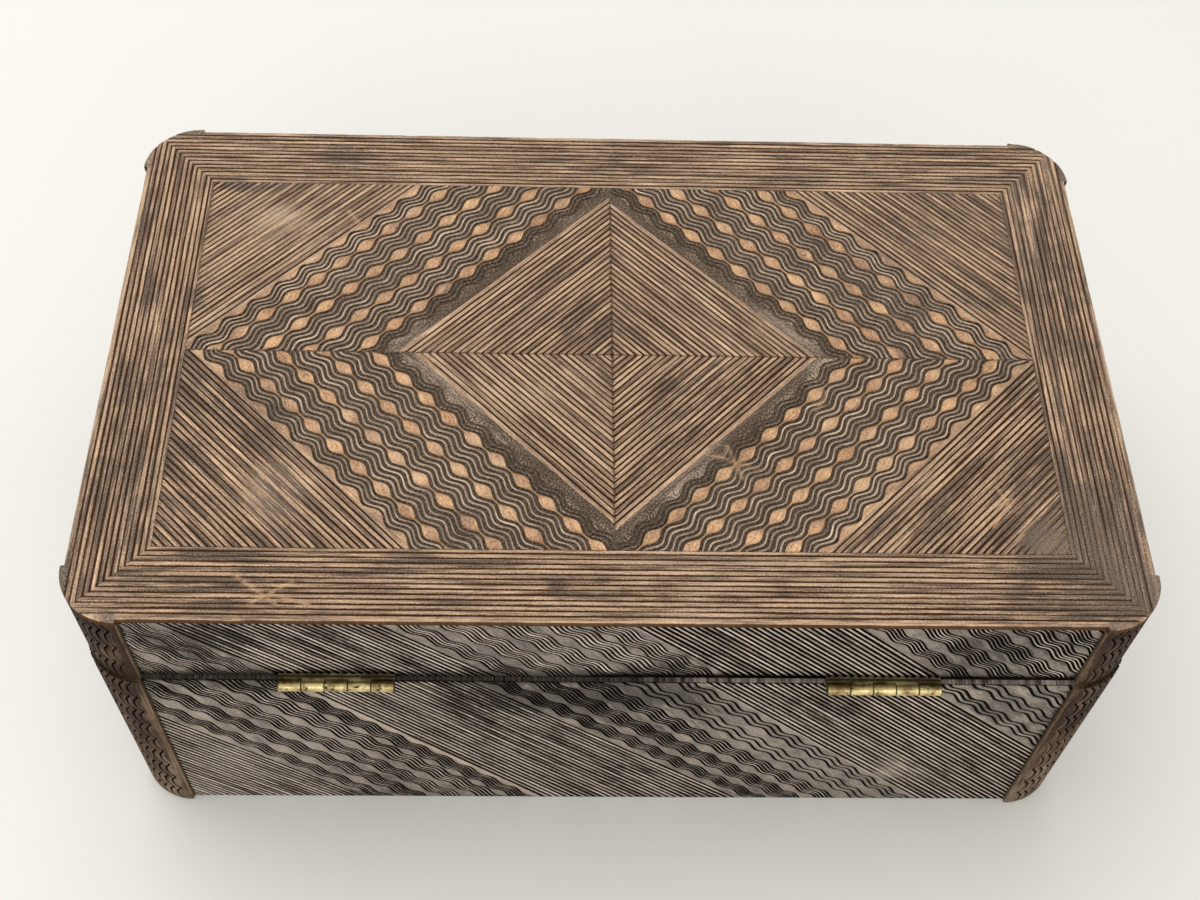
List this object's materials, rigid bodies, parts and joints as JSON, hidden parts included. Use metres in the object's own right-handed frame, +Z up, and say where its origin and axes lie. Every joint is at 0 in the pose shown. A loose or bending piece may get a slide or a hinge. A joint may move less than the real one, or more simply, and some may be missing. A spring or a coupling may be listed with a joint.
{
  "type": "carved wooden box",
  "caption": "Rectangular wooden box with rounded corner posts, combed and waved carving, and a lid on butt hinges, for keeping small things.",
  "frame": {"origin": "middle of the base board's underside, on the plane the box stands on", "axes": "+X along the hinge axis, to the right as seen from the hinge side; the hinge side (back) faces -Y and the opening side (front) +Y; +Z up"},
  "size_m": [0.303, 0.1873, 0.121],
  "materials": {
    "carved_top": "worn satin",
    "carved_side": "worn satin",
    "plain_board": "matte",
    "hinge_brass": "tarnished",
    "hinge_steel": "dull"
  },
  "bodies": {
    "case": {"case_base_board": "plain_board", "case_back_board": "plain_board", "case_front_board": "plain_board", "case_left_board": "plain_board", "case_right_board": "plain_board", "case_back_facing": "carved_side", "case_front_facing": "carved_side", "case_left_facing": "carved_side", "case_right_facing": "carved_side", "case_post_back_left": "carved_side", "case_post_back_right": "carved_side", "case_post_front_left": "carved_side", "case_post_front_right": "carved_side", "hinge_left_case_leaf": "hinge_brass", "hinge_right_case_leaf": "hinge_brass", "hinge_left_pin": "hinge_steel", "hinge_right_pin": "hinge_steel", "hinge_case_screws": "hinge_brass"},
    "lid": {"lid_top_board": "plain_board", "lid_back_board": "plain_board", "lid_front_board": "plain_board", "lid_left_board": "plain_board", "lid_right_board": "plain_board", "lid_back_facing": "carved_side", "lid_front_facing": "carved_side", "lid_left_facing": "carved_side", "lid_right_facing": "carved_side", "lid_post_back_left": "carved_side", "lid_post_back_right": "carved_side", "lid_post_front_left": "carved_side", "lid_post_front_right": "carved_side", "lid_border_back": "carved_top", "lid_border_front": "carved_top", "lid_border_left": "carved_top", "lid_border_right": "carved_top", "lid_quarter_back_left": "carved_top", "lid_quarter_back_right": "carved_top", "lid_quarter_front_left": "carved_top", "lid_quarter_front_right": "carved_top", "hinge_left_lid_leaf": "hinge_brass", "hinge_right_lid_leaf": "hinge_brass", "hinge_lid_screws": "hinge_brass"}
  },
  "joints": [
    {"name": "lid_hinge", "type": "hinge", "parent": "case", "child": "lid", "pos_m": [0, -0.0923, 0.0865], "axis": [1, 0, 0], "range_deg": [0, 180]}
  ]
}
